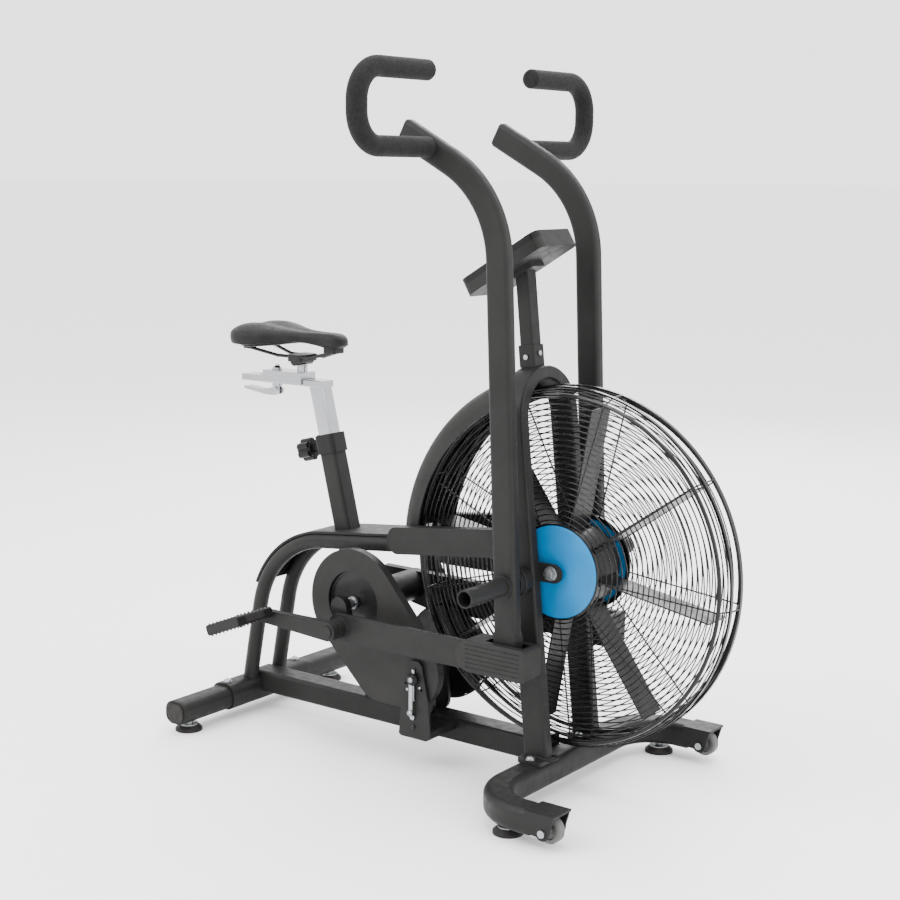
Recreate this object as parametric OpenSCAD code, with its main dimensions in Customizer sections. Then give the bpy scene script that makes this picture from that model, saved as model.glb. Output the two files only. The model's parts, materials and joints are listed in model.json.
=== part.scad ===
// Air bike: a fan-braked exercise bike with swinging arms.
// X points to the front (the fan end), Y to the rider's left, Z up, millimetres.
// Every module is drawn with its X measured from the fan axle, and at_fan() moves it
// so that the origin lies on the floor under the middle of the machine.

/* [Fan and cage] */
// Outer radius of the fan cage
cage_r = 345; // [335:1:350]
// Height of the fan axle above the floor
fan_z = 432; // [428:1:440]
// Half width of the cage at its middle
cage_half_w = 58; // [54:1:60]
// Number of ring wires on each face
ring_count = 22; // [12:1:24]
// Number of radial spokes on each face
spoke_count = 9; // [6:1:12]
// Diameter of a ring wire
ring_wire_d = 2.6; // [2.2:0.1:3]
// Diameter of a spoke wire
spoke_wire_d = 3; // [2.6:0.1:3.4]
// Radius of the blue hub discs
hub_disc_r = 88; // [80:1:92]
// Number of fan blades
blade_count = 8; // [6:1:10]
// Tip radius of the blades
blade_tip_r = 312; // [290:1:316]
// Width of a blade across the fan
blade_w = 66; // [50:1:70]

/* [Main frame] */
// Lean of the hoop from vertical, in degrees
hoop_lean = 6; // [5.5:0.1:6.5]
// Depth of the hoop tube along X
hoop_d = 52; // [46:1:54]
// Thickness of the hoop tube along Y
hoop_t = 25; // [22:1:26]
// Outer radius of the hoop's round top
hoop_r = 97; // [95:1:98]
// Radius of the round arch tubes
arch_tube_r = 16; // [14:0.5:17]
// Bend radius of the arches
arch_bend_r = 200; // [190:1:205]
// Half spacing of the two arches
arch_y = 45; // [43:1:46]
// Width of the bottom tube
base_w = 57.6; // [56:0.2:58]
// Top of the bottom tube
base_top = 85; // [83:1:86]
// Underside of the bottom tube
base_low = 38; // [36:1:40]

/* [Stabilizers and feet] */
// Distance of the rear stabilizer behind the fan axle
rear_x = 806; // [800:1:810]
// Half length of the rear stabilizer tube
rear_half = 256; // [250:1:260]
// Width of the stabilizer tubes
stab_w = 57; // [54:1:58]
// Underside of the stabilizer tubes
stab_low = 21; // [20:0.5:22]
// Top of the stabilizer tubes
stab_top = 70; // [68:0.5:71]
// Half spacing of the rear feet
rear_foot_y = 226; // [220:1:230]
// Base radius of a foot pad
foot_r = 28.5; // [26:0.5:30]
// Radius of a transport wheel
wheel_r = 25; // [23:0.5:25]

/* [Cranks and drive] */
// Height of the crank axle
crank_z = 313; // [310:1:316]
// Distance of the crank axle behind the fan axle
crank_x = 443; // [440:1:446]
// Radius from the crank axle to a pedal axle
pedal_r = 170; // [165:1:172]
// Radius from the crank axle to a link pin
throw_r = 40; // [38:0.5:40]
// Direction of the right pedal crank at rest, in degrees
pedal_angle = 191.4; // [189:0.1:194]
// Direction of the right link throw at rest, in degrees
throw_angle = 288.7; // [287:0.1:290]
// Teeth of the crank sprocket
drive_teeth = 44; // [40:1:44]
// Teeth of the jackshaft sprocket
jack_teeth = 14; // [12:1:16]
// Distance of the jackshaft behind the fan axle
jack_x = 341; // [338:1:344]
// Height of the jackshaft
jack_z = 190; // [188:1:192]
// Radius of the large belt pulley
drum_r = 96; // [90:1:98]
// Radius of the fan's belt pulley
fan_pulley_r = 32; // [30:1:33]

/* [Arms and links] */
// Distance of the arm pivots behind the fan axle
pivot_x = 48; // [46:1:50]
// Height of the arm pivots
pivot_z = 417; // [414:1:420]
// Distance of each arm from the middle plane
arm_y = 150; // [149:0.5:151]
// Depth of an arm tube along X
arm_d = 50; // [46:1:52]
// Thickness of an arm tube along Y
arm_t = 26; // [24:0.5:27]
// Backward lean of the arms at rest, in degrees
arm_lean = 2.46; // [2.3:0.02:2.6]
// Bend radius of an arm's upper curve
arm_bend_r = 207; // [200:1:212]
// Turn of an arm's upper curve, in degrees
arm_turn = 59.5; // [58:0.5:61]
// Height of the lower link pin below the pivot
arm_lower = 145; // [143:0.5:147]
// Outer radius of the foam grip
grip_r = 19; // [17:0.5:19]
// Distance of the outer run of each handle from the middle plane
handle_out_y = 366; // [360:1:366]

/* [Seat] */
// Lean of the seat tube from vertical, in degrees
seat_lean = 14.1; // [13.8:0.1:14.4]
// Width of the square seat tube
seat_tube_w = 42; // [40:0.5:43]
// Length of the saddle
saddle_len = 268; // [260:1:275]
// Width of the saddle at its wings
saddle_w = 190; // [180:1:200]
// Height of the saddle's highest point
saddle_top = 850; // [845:1:855]
// Thickness of the saddle
saddle_thick = 48; // [44:1:49]

/* [Console] */
// Width of the console
console_w = 126; // [120:1:130]
// Length of the console's face
console_len = 196; // [190:1:200]
// Thickness of the console
console_t = 34; // [32:1:36]
// Slope of the console's face, in degrees
console_tilt = 31; // [29:0.5:33]

/* [Hidden] */
$fn = 48;

// Colours
frame_black = [0.15, 0.15, 0.15];
cover_grey = [0.24, 0.24, 0.24];
gloss_black = [0.07, 0.07, 0.07];
disc_blue = [0.05, 0.45, 0.7];
chrome = [0.8, 0.8, 0.82];
zinc = [0.65, 0.67, 0.68];
foam_black = [0.1, 0.1, 0.1];
rubber_black = [0.08, 0.07, 0.06];
tread_grey = [0.55, 0.55, 0.53];

// Running clearance between a shaft and its hole
fit = 0.05;
// Gap kept between neighbouring curved faces
gap = 0.4;
// Wall of the steel tubes
wall = 2.5;
// How far a tangent edge is set into its circle
join_cut = 0.01;

// Whole machine: rearmost point is the seat lever, foremost the cage
rear_end = 839;
saddle_back = 829;
fan_x = (rear_end - cage_r) / 2;

// Hoop: its centre line is X = hoop_foot_x - (z - hoop_foot_z) * tan(hoop_lean)
hoop_foot_x = -14;
hoop_foot_z = 74;
hoop_top_z = 714;
function hoop_x(z) = hoop_foot_x - (z - hoop_foot_z) * tan(hoop_lean);
hoop_in = hoop_r - hoop_t;

// Arches: a leg that leans forward, one bend, then a run that climbs to the front
arch_foot = [-798, 70];
arch_leg_angle = 79.3;
arch_run_angle = 6;
arch_leg_len = 178;
arch_end_x = -388;
run_spare = 3;
arch_bend_start = arch_foot + arch_leg_len * dir(arch_leg_angle);
arch_bend_centre = arch_bend_start + arch_bend_r * dir(arch_leg_angle - 90);
arch_bend_end = arch_bend_centre + arch_bend_r * dir(arch_run_angle + 90);
arch_run_len = (arch_end_x - arch_bend_end.x) / cos(arch_run_angle);

// Seat tube and post: a line through seat_ref, leaning back
seat_ref = [-559, 437];
seat_top_z = 622;
function seat_x(z) = seat_ref.x - (z - seat_ref.y) * tan(seat_lean);
post_w = 34;
post_top_z = 722;
seat_rail_z = 736;

// Stabilizers
stab_h = stab_top - stab_low;
stab_mid_z = (stab_top + stab_low) / 2;
front_bend_r = 100;
front_leg_y = 284;
front_mid_x = -14;
front_leg_end = 112;
front_foot = [46, 271];
wheel_pos = [145, 36];
wheel_w = 24;
wheel_axle_r = 4;

// Drive
bb = [-crank_x, crank_z];
jack = [-jack_x, jack_z];
chain_pitch = 12.7;
drive_r = chain_pitch * drive_teeth / (2 * PI);
jack_r = chain_pitch * jack_teeth / (2 * PI);
chain_y = -111;
chain_w = 6;
chain_half_t = 4.5;
belt_y = 65.5;
belt_w = 9;
belt_t = 3;
cover_near = 120;
cover_far = 102;
cover_wall = 3;
crank_axle_r = 10;
jack_shaft_r = 8;
throw_pos = bb + throw_r * dir(throw_angle);
pedal_pos = bb + pedal_r * dir(pedal_angle);
opposite_throw = bb - throw_r * dir(throw_angle);
opposite_pedal = bb - pedal_r * dir(pedal_angle);

// Arms and links
pivot = [-pivot_x, pivot_z];
arm_straight = 594;
arm_end_len = 118;
low_pin = pivot + arm_lower * [sin(arm_lean), -cos(arm_lean)];
link_z = 277;
link_near = 177;
link_far = 168;
link_h = 55;
pin_r = 8;
handle_x = -226;
handle_low_z = 1211;
handle_high_z = 1348;
handle_bend_r = 60;
handle_tube_r = 12.5;

// Plane geometry
function dir(a) = [cos(a), sin(a)];
function arc(c, r, a0, a1, n) = [for (i = [0:n]) c + r * dir(a0 + (a1 - a0) * i / n)];

// Outward direction of the belt line that runs from wheel a to wheel b, each [centre, radius]
function belt_normal(a, b) = atan2(b[0].y - a[0].y, b[0].x - a[0].x)
    - acos((a[1] - b[1]) / norm(b[0] - a[0]));

// Arc of wheel b between the belt lines from a and to c
function belt_arc(a, b, c) = let (start = belt_normal(a, b), turn = belt_normal(b, c) - start)
    arc(b[0], b[1], start, start + turn - 360 * floor(turn / 360), 40);

// Closed line around wheels given anticlockwise, all made smaller by inset
function belt_loop(wheels, inset) = let (
    n = len(wheels),
    w = [for (wheel = wheels) [wheel[0], wheel[1] - inset]]
) [for (i = [0:n - 1]) each belt_arc(w[(i + n - 1) % n], w[i], w[(i + 1) % n])];

module at_fan() translate([fan_x, 0, 0]) children();

// Rectangle with round corners, centred on the origin
module round_rect(w, h, r) {
    square([w - 2 * r, h], center = true);
    square([w, h - 2 * r], center = true);
    for (x = [-1, 1], y = [-1, 1])
        translate([x * (w / 2 - r), y * (h / 2 - r)]) circle(r);
}

// Stadium between two points of the plane
module slot2d(a, b, r) {
    d = norm(b - a);
    translate(a) circle(r);
    translate(b) circle(r);
    translate(a) rotate(atan2(b.y - a.y, b.x - a.x)) translate([0, -r]) square([d, 2 * r]);
}

// Outline around two circles; its straight edges cut the circles by a hair, so they join cleanly
module taper2d(a, ra, b, rb) {
    along = atan2(b.y - a.y, b.x - a.x);
    open = acos((ra - rb) / norm(b - a));
    ca = ra - join_cut;
    cb = rb - join_cut;
    translate(a) circle(ra);
    translate(b) circle(rb);
    polygon([a + ca * dir(along + open), b + cb * dir(along + open),
        b + cb * dir(along - open), a + ca * dir(along - open)]);
}

// Stands a shape drawn in the X-Z plane between two Y values
module plate_xz(y0, y1) translate([0, y1, 0]) rotate([90, 0, 0]) linear_extrude(y1 - y0) children();

// Round bar along Y
module rod_y(p, r, y0, y1) translate([p.x, y0, p.y]) rotate([-90, 0, 0]) cylinder(r = r, h = y1 - y0);

// Tubes with rounded corners along one axis
module bar_x(x0, x1, y, z, w, h, r)
    translate([x0, y, z]) rotate([90, 0, 90]) linear_extrude(x1 - x0) round_rect(w, h, r);
module bar_y(y0, y1, x, z, w, h, r)
    translate([x, y0, z]) rotate([-90, 0, 0]) linear_extrude(y1 - y0) round_rect(w, h, r);
module bar_z(z0, z1, x, y, w, d, r)
    translate([x, y, z0]) linear_extrude(z1 - z0) round_rect(w, d, r);

// Turned shape about an axis along Y through p; its profile holds [radius, Y]
module turn_y(p) translate([p.x, 0, p.y]) rotate([-90, 0, 0]) rotate_extrude($fn = 96) children();

// Same, only between two directions measured from +X towards +Z
module turn_y_part(p, a0, a1)
    translate([p.x, 0, p.y]) rotate([-90, 0, 0]) rotate([0, 0, -a1])
        rotate_extrude(angle = a1 - a0, $fn = 96) children();

module both_sides() {
    children();
    mirror([0, 1, 0]) children();
}

// Dome head bolt standing on z = 0, with its shank below
module dome_bolt(r, len) {
    translate([0, 0, -len]) cylinder(r = r, h = len);
    cylinder(r = r * 2.4, h = 2);
    translate([0, 0, 2]) intersection() {
        translate([0, 0, -r * 0.9]) sphere(r * 2.4);
        cylinder(r = r * 2, h = r * 3);
    }
}

/* ---- Base ---- */

// Bottom tube with the sleeve that clamps the rear stabilizer, one weldment
module bottom_tube() color(frame_black) at_fan() {
    tube_z = (base_top + base_low) / 2;
    tube_h = base_top - base_low;
    front = front_mid_x - stab_w / 2;
    difference() {
        union() {
            bar_x(-rear_x, front, 0, tube_z, base_w, tube_h, 8);
            bar_y(-122, 122, -rear_x, stab_mid_z + 1, stab_w + 6, stab_h + 8, 22);
        }
        bar_x(-rear_x + stab_w / 2 + 6, front - 3, 0, tube_z, base_w - 2 * wall, tube_h - 2 * wall, 5);
        bar_y(-123, 123, -rear_x, stab_mid_z, stab_w + 0.6, stab_h + 0.6, 20.3);
        sleeve_bolt_holes();
    }
    jackshaft_bracket();
}

module sleeve_bolt_holes()
    for (y = [-1, 1]) translate([-rear_x, y * 108, stab_mid_z]) cylinder(r = 4.5, h = stab_h);

module rear_stabilizer() color(frame_black) at_fan() difference() {
    bar_y(-rear_half, rear_half, -rear_x, stab_mid_z, stab_w, stab_h, 20);
    bar_y(-rear_half - 1, rear_half + 1, -rear_x, stab_mid_z, stab_w - 2 * wall, stab_h - 2 * wall, 17);
    for (y = [-1, 1]) translate([-rear_x, y * rear_foot_y, 0]) cylinder(r = 5, h = stab_low + 10);
    sleeve_bolt_holes();
}

module stabilizer_caps() color(rubber_black) at_fan() both_sides() {
    bar_y(rear_half, rear_half + 8, -rear_x, stab_mid_z, stab_w, stab_h, 20);
    bar_y(rear_half + 8, rear_half + 12, -rear_x, stab_mid_z, stab_w - 8, stab_h - 8, 16);
    bar_y(rear_half - 14, rear_half, -rear_x, stab_mid_z, stab_w - 7, stab_h - 7, 16.5);
}

// Bowed front stabilizer: a straight run, two bends and two legs that end in wheel forks
module front_stabilizer() color(frame_black) at_fan() {
    difference() {
        bowed_tube(0, front_leg_end);
        bowed_tube(wall, front_leg_end + 1);
        for (y = [-1, 1]) translate([front_foot.x, y * front_foot.y, 0])
            cylinder(r = 5, h = stab_low + 14);
        hoop_bolt_holes(stab_top - 20);
    }
    both_sides() wheel_fork();
}

module bowed_tube(inset, leg_end) {
    bend_y = front_leg_y - front_bend_r;
    w = stab_w - 2 * inset;
    h = stab_h - 2 * inset;
    r = 14 - inset;
    bar_y(-bend_y, bend_y, front_mid_x, stab_mid_z, w, h, r);
    both_sides() {
        translate([front_mid_x + front_bend_r, bend_y, stab_mid_z]) rotate(90)
            rotate_extrude(angle = 90, $fn = 96)
                translate([front_bend_r, 0]) round_rect(w, h, r);
        bar_x(front_mid_x + front_bend_r, leg_end, front_leg_y, stab_mid_z, w, h, r);
    }
}

// Bolts that hold the hoop's two feet stand on the stabilizer's centre line
module hoop_bolts_at(z)
    for (s = [-1, 1], y = [60, 112]) translate([hoop_foot_x, s * y, z]) children();

module hoop_bolt_holes(z) hoop_bolts_at(z) cylinder(r = 4.2, h = 40);

// Channel that carries a transport wheel, welded to the end of a stabilizer leg
module wheel_fork() {
    half = stab_w / 2;
    start = front_leg_end - 4;
    for (y = [front_leg_y - half, front_leg_y + half - 4]) difference() {
        plate_xz(y, y + 4) {
            polygon([[start, stab_low + 8], [start, stab_top - 4],
                [wheel_pos.x + 22, stab_top - 4], wheel_pos + [13, 0],
                wheel_pos - [0, 13], wheel_pos - [12, 8]]);
            translate(wheel_pos) circle(14);
        }
        rod_y(wheel_pos, wheel_axle_r, y - 1, y + 5);
    }
    translate([start, front_leg_y - half, stab_top - 4]) cube([wheel_pos.x + 24 - start, stab_w, 4]);
    bar_x(front_leg_end - 4, front_leg_end, front_leg_y, stab_mid_z, stab_w, stab_h, 14);
}

module foot_at() for (y = [-1, 1]) {
    translate([-rear_x, y * rear_foot_y, 0]) children();
    translate([front_foot.x, y * front_foot.y, 0]) children();
}

module foot_pads() color(rubber_black) at_fan() foot_at() difference() {
    rotate_extrude() polygon([[0, 0], [foot_r, 0], [foot_r, 5], [foot_r - 8, 12.5], [0, 12.5]]);
    translate([0, 0, 5]) cylinder(r = 5, h = 10);
}

module foot_studs() color(zinc) at_fan() foot_at() {
    translate([0, 0, 5]) cylinder(r = 5, h = stab_low + 3);
    translate([0, 0, 12.5]) cylinder(r = foot_r - 9, h = 2);
    translate([0, 0, 14.5]) cylinder(r = 9, h = 5, $fn = 6);
}

/* ---- Rear structure ---- */

// Round tube along an arch's centre line: leg, bend and run
module arch_sweep(r) {
    translate([arch_foot.x, 0, arch_foot.y]) rotate([0, 90 - arch_leg_angle, 0])
        cylinder(r = r, h = arch_leg_len);
    turn_y_part(arch_bend_centre, arch_run_angle + 90, arch_leg_angle + 90)
        translate([arch_bend_r, 0]) circle(r);
    translate([arch_bend_end.x, 0, arch_bend_end.y]) rotate([0, 90 - arch_run_angle, 0])
        cylinder(r = r, h = arch_run_len + run_spare);
}

module rear_arches() color(frame_black) at_fan() difference() {
    for (y = [-1, 1]) translate([0, y * arch_y, 0]) difference() {
        arch_sweep(arch_tube_r);
        arch_sweep(arch_tube_r - wall);
    }
    bar_y(-130, 130, -rear_x, stab_mid_z + 1, stab_w + 6, stab_h + 8, 22);
    translate([arch_end_x, -100, 300]) cube([80, 200, 300]);
}

// Curved plate over the arches, from the back of the bend to the side rails
module top_deck() color(frame_black) at_fan() difference() {
    low_r = arch_bend_r + arch_tube_r + 0.1;
    high_r = low_r + 5;
    back = arch_leg_angle + 78;
    front = arch_run_angle + 90;
    run = arch_run_len * dir(arch_run_angle);
    half = arch_y + 8;
    plate_xz(-half, half) polygon(concat(
        arc(arch_bend_centre, high_r, back, front, 40), [arch_bend_centre + high_r * dir(front) + run],
        [arch_bend_centre + low_r * dir(front) + run], arc(arch_bend_centre, low_r, front, back, 40)));
    seat_prism(360, 500, seat_tube_w + 0.4, 7.2);
}

rail_mid = [-200, 466];
rail_tilt = 6.5;
rail_h = 54;
rail_back = -172;

// Both side rails, and the cross piece that joins them to the arches
module side_rails() color(frame_black) at_fan() difference() {
    union() {
        both_sides() rail_plate(0, 0);
        translate([arch_end_x, -hoop_in - 8, 421]) cube([34, 2 * hoop_in + 16, 34]);
    }
    both_sides() rail_plate(wall, wall);
    translate([arch_end_x + wall, -hoop_in - 2, 421 + wall])
        cube([34 - 2 * wall, 2 * hoop_in + 4, 34 - 2 * wall]);
    hoop_leg_space();
    turn_y([0, fan_z]) translate([0, -70]) square([cage_r + 9, 140]);
}

// Left rail, drawn smaller by inset and thinner by skin on both faces
module rail_plate(inset, skin) translate([rail_mid.x, hoop_r - skin, rail_mid.y])
    rotate([0, -rail_tilt, 0]) rotate([90, 0, 0]) linear_extrude(hoop_t - 2 * skin) {
        translate([rail_back + 40, 0]) round_rect(80 - 2 * inset, rail_h - 2 * inset, 20 - inset);
        translate([rail_back + 40, inset - rail_h / 2]) square([300, rail_h - 2 * inset]);
    }

// Everything in front of the hoop's rear face
module hoop_leg_space() hoop_lean_frame()
    translate([-hoop_d / 2, -hoop_r - 1, -20]) cube([300, 2 * hoop_r + 2, 900]);

// Frame on the seat line at height z: its Z runs up the tube, -X to the back
module seat_frame(z) translate([seat_x(z), 0, z]) rotate([0, -seat_lean, 0]) children();

// Square prism along the seat line, cut level at both ends
module seat_prism(z0, z1, w, r) intersection() {
    seat_frame(z0) translate([0, 0, -20]) linear_extrude((z1 - z0) / cos(seat_lean) + 40)
        round_rect(w, w, r);
    translate([seat_x(z1) - 60, -60, z0]) cube([seat_x(z0) - seat_x(z1) + 120, 120, z1 - z0]);
}

module seat_tube() color(frame_black) at_fan() difference() {
    seat_prism(base_top, seat_top_z, seat_tube_w, 7);
    seat_prism(base_top + 6, seat_top_z + 1, post_w + 0.6, 4);
    seat_frame(collar_z) rotate([0, -90, 0]) cylinder(r = 5.5, h = 40);
}

collar_z = 602;

module seat_collar() color(gloss_black) at_fan() seat_frame(collar_z) difference() {
    union() {
        translate([0, 0, -16]) linear_extrude(40) round_rect(seat_tube_w + 7, seat_tube_w + 7, 9);
        rotate([0, -90, 0]) cylinder(r = 11, h = seat_tube_w / 2 + 12);
    }
    translate([0, 0, -60]) linear_extrude(120) round_rect(seat_tube_w + 0.4, seat_tube_w + 0.4, 7.2);
    rotate([0, -90, 0]) cylinder(r = 5.5, h = 60);
}

/* ---- Hoop, fender and console post ---- */

// Leans its children with the hoop about the hoop's foot
module hoop_lean_frame() translate([hoop_foot_x, 0, hoop_foot_z]) rotate([0, -hoop_lean, 0]) children();

// Hoop tube with brackets for the fan axle and base plates for the stabilizer
module hoop() color(frame_black) at_fan() {
    difference() {
        union() {
            hoop_tube(0);
            both_sides() bar_z(stab_top, stab_top + 8, hoop_foot_x, 86, 54, 70, 8);
        }
        hoop_tube(wall);
        both_sides() rod_y(pivot, peg_axle_r, hoop_in - 1, hoop_r + 1);
        hoop_bolt_holes(60);
    }
    axle_brackets();
}

module hoop_tube(inset) hoop_lean_frame() {
    mid_r = (hoop_r + hoop_in) / 2;
    leg = hoop_top_z - hoop_foot_z;
    w = hoop_d - 2 * inset;
    t = hoop_t - 2 * inset;
    both_sides() bar_z(inset * 3, leg, 0, mid_r, w, t, 6 - inset);
    translate([0, 0, leg]) rotate([90, 0, 90]) rotate_extrude(angle = 180, $fn = 96)
        translate([mid_r, 0]) round_rect(t, w, 6 - inset);
}

// Plates at the front of each hoop leg that hold the fan axle
module axle_brackets() difference() {
    both_sides() plate_xz(hoop_in, hoop_in + 4) slot2d([-30, fan_z], [6, fan_z], 18);
    hoop_lean_frame() translate([-100, -200, 0]) cube([100 + hoop_d / 2 - 1, 400, 500]);
    rod_y([0, fan_z], 8, -hoop_r, hoop_r);
}

// Curved guard over the top rear of the cage
module fender() color(cover_grey) at_fan() difference() {
    turn_y_part([0, fan_z], 101, 175.5) fender_profile();
    hoop_leg_space();
}

module fender_profile() {
    outer_r = 372;
    depth = 80;
    width = 128;
    wall = 4;
    difference() {
        translate([outer_r - depth / 2, 0]) round_rect(depth, width, 34);
        translate([outer_r - depth / 2, 0]) round_rect(depth - 2 * wall, width - 2 * wall, 30);
        translate([outer_r - depth - 1, -width]) square([depth / 2 - 5, 2 * width]);
    }
}

function post_x(z) = hoop_x(z) - 9;

// Square tube on the console post's line between two heights
module post_line(z0, z1, w, r) translate([post_x(z0), 0, z0]) rotate([0, -hoop_lean, 0])
    linear_extrude((z1 - z0) / cos(hoop_lean)) round_rect(w, w, r);

// Post and its lower sleeve, welded on the hoop's round top
module console_post() color(frame_black) at_fan() difference() {
    union() {
        post_line(796, 846, 36, 4);
        post_line(800, 984, 30, 4);
    }
    post_line(830, 990, 25, 2);
    hoop_lean_frame() translate([-100, 0, hoop_top_z - hoop_foot_z]) rotate([0, 90, 0])
        cylinder(r = hoop_r, h = 200, $fn = 96);
}

/* ---- Console ---- */

console_mid = [-134, 999];
button_x = -52;
button_y = 24;

// Local console frame: X forward along the face, Y across, Z out of the face
module console_frame() translate([console_mid.x, 0, console_mid.y]) rotate([0, -console_tilt, 0])
    children();

split_z = console_t * 0.12;

module console_case() color(cover_grey) at_fan() difference() {
    console_frame() difference() {
        union() {
            translate([0, 0, -console_t / 2]) linear_extrude(console_t / 2 + split_z)
                round_rect(console_len, console_w, 16);
            translate([8, 0, -console_t / 2 - 10]) linear_extrude(12) round_rect(58, 48, 6);
        }
        translate([0, 0, -console_t / 2 + 3]) linear_extrude(console_t)
            round_rect(console_len - 6, console_w - 6, 13);
        for (x = [-1, 1]) translate([x * 70, 0, -console_t / 2 - 1]) cylinder(r = 2.2, h = 6);
    }
    post_line(850, 992, 30.4, 4.2);
}

module console_face() color(gloss_black) at_fan() console_frame() difference() {
    depth = console_t / 2 - split_z;
    translate([0, 0, split_z]) linear_extrude(depth) round_rect(console_len, console_w, 16);
    translate([0, 0, split_z - 1]) linear_extrude(depth - 2)
        round_rect(console_len - 6, console_w - 6, 13);
    translate([26, 0, 0]) linear_extrude(console_t) round_rect(92, 96, 4);
    for (s = [-1, 1]) translate([button_x, s * button_y, 0]) cylinder(r = 9.5, h = console_t);
}

module console_screen() color([0.3, 0.36, 0.3]) at_fan() console_frame()
    translate([26, 0, console_t / 2 - 5]) linear_extrude(3.5) round_rect(92, 96, 4);

module console_button(side) at_fan() console_frame()
    translate([button_x, side * button_y, console_t / 2 - 6]) {
        cylinder(r = 9, h = 8.5);
        translate([0, 0, -2]) cylinder(r = 11, h = 2);
    }

module start_button() color([0.2, 0.55, 0.3]) console_button(1);
module stop_button() color([0.65, 0.15, 0.12]) console_button(-1);

/* ---- Fan cage ---- */

ring_first_r = 98;
ring_last_r = 325;
rim_face_r = 331;
rim_face_y = 45;
rim_wire_r = 4;
band_in_y = 14;
band_w = 8;
band_t = 3.5;

// Distance of the cage face from the middle plane at radius r
function face_y(r) = cage_half_w
    - (cage_half_w - rim_face_y) * (r - ring_first_r) / (rim_face_r - ring_first_r);
function spoke_y(r) = face_y(r) - ring_wire_d - spoke_wire_d / 2 - 0.05;
function spoke_angle(i) = 35 + i * 360 / spoke_count;

// A wire ring around the fan axle; at holds its radius and its Y, and its section is an octagon
module wire_ring(at, r) turn_y([0, fan_z]) translate(at) circle(r, $fn = 8);

// One welded half of the cage, on the +Y side
module cage_half() {
    wire_r = ring_wire_d / 2;
    for (i = [0:ring_count - 1]) {
        r = ring_first_r + (ring_last_r - ring_first_r) * i / (ring_count - 1);
        wire_ring([r, face_y(r) - wire_r], wire_r);
    }
    wire_ring([rim_face_r, rim_face_y - rim_wire_r], rim_wire_r);
    for (at = [[337, 35], [341, 28]]) wire_ring(at, wire_r);
    turn_y([0, fan_z]) translate([cage_r - band_t, band_in_y]) square([band_t, band_w]);
    turn_y([0, fan_z]) translate([84, cage_half_w - 3]) square([8, 3]);
    for (i = [0:spoke_count - 1]) translate([0, 0, fan_z]) rotate([0, -spoke_angle(i), 0]) {
        rod_xy([85, spoke_y(85)], [rim_face_r - 4.2, spoke_y(rim_face_r - 4.2)]);
        rod_xy([rim_face_r, 36.8], [cage_r - 5.2, band_in_y + band_w - 3]);
    }
}

// Spoke wire between two points of the X-Y plane
module rod_xy(a, b) translate([a.x, a.y, 0]) rotate([0, 0, atan2(b.y - a.y, b.x - a.x)])
    rotate([0, 90, 0]) cylinder(r = spoke_wire_d / 2, h = norm(b - a));

// The left half also carries the tie bars between the two outer bands
module cage_left() color(gloss_black) at_fan() {
    cage_half();
    for (i = [0:spoke_count - 1])
        rod_y([0, fan_z] + (cage_r - band_t / 2) * dir(spoke_angle(i)), 1.7, -band_in_y, band_in_y);
}

module cage_right() color(gloss_black) at_fan() mirror([0, 1, 0]) cage_half();

// Blue disc on the outside of one cage half, with its centre hole
module hub_disc(hole) turn_y([0, fan_z]) polygon([[hole, cage_half_w], [hub_disc_r, cage_half_w],
    [hub_disc_r, cage_half_w + 1], [hub_disc_r - 3, cage_half_w + 2], [hole, cage_half_w + 2]]);

module hub_discs() color(disc_blue) at_fan() {
    hub_disc(20);
    mirror([0, 1, 0]) hub_disc(9);
}

module fan_axle() color(zinc) at_fan() {
    rod_y([0, fan_z], 8, -hoop_in - 15, hoop_in + 15);
    both_sides() {
        rod_y([0, fan_z], 14, hoop_in + 4, hoop_in + 6);
        translate([0, hoop_in + 6, fan_z]) rotate([-90, 0, 0]) cylinder(r = 12, h = 7, $fn = 6);
    }
}

/* ---- Fan ---- */

hub_r = 78;

module fan_hub() color(gloss_black) at_fan() difference() {
    turn_y([0, fan_z]) polygon([[10, -39], [fan_bearing_r, -39], [fan_bearing_r, -50], [26, -50],
        [26, -44], [hub_r, -40], [hub_r, 40], [26, 44], [26, 50], [fan_bearing_r, 50],
        [fan_bearing_r, 39], [10, 39]]);
    both_sides() turn_y([0, fan_z]) polygon([[34, 50], [70, 50], [70, 4], [34, 4]]);
}

fan_bearing_r = 17.5;

// Bearings in both ends of the fan hub
module fan_bearings() color(zinc) at_fan()
    both_sides() turn_y([0, fan_z]) polygon([[8 + fit, 39], [fan_bearing_r, 39], [fan_bearing_r, 50],
        [8 + fit, 50]]);

module fan_blades() color(gloss_black) at_fan() translate([0, 0, fan_z])
    for (i = [0:blade_count - 1]) rotate([0, -35 - i * 360 / blade_count, 0]) {
        root = hub_r + 0.1;
        translate([root, -blade_w / 2, -1.5]) cube([blade_tip_r - root, blade_w, 3]);
        translate([root, -blade_w / 2, -7]) cube([5, blade_w, 14]);
    }

module fan_pulley() color(zinc) at_fan() {
    near = belt_y - belt_w / 2;
    turn_y([0, fan_z]) polygon([[8 + fit, 50], [16, 50], [16, near], [fan_pulley_r, near],
        [fan_pulley_r, near + belt_w], [8 + fit, near + belt_w]]);
}

/* ---- Crank frame and covers ---- */

cover_lobes = [[bb, 109], [[-375, 185], 65], [[-307, 200], 80]];
cover_opening_r = 64;
shell_r = 32;

// Thin housing around the first drive stage, open around the crank axle
module chain_cover() color(cover_grey) at_fan() difference() {
    plate_xz(-cover_near, -cover_far) polygon(belt_loop(cover_lobes, 0));
    plate_xz(-cover_near + cover_wall, -cover_far - cover_wall)
        polygon(belt_loop(cover_lobes, cover_wall));
    rod_y(bb, cover_opening_r, -cover_near - 1, -cover_near + cover_wall + 1);
    rod_y(bb, shell_r - 6, -cover_far - cover_wall - 1, -cover_far + 1);
    rod_y(jack, jack_shaft_r + 1, -cover_far - cover_wall - 1, -cover_far + 1);
}

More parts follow.
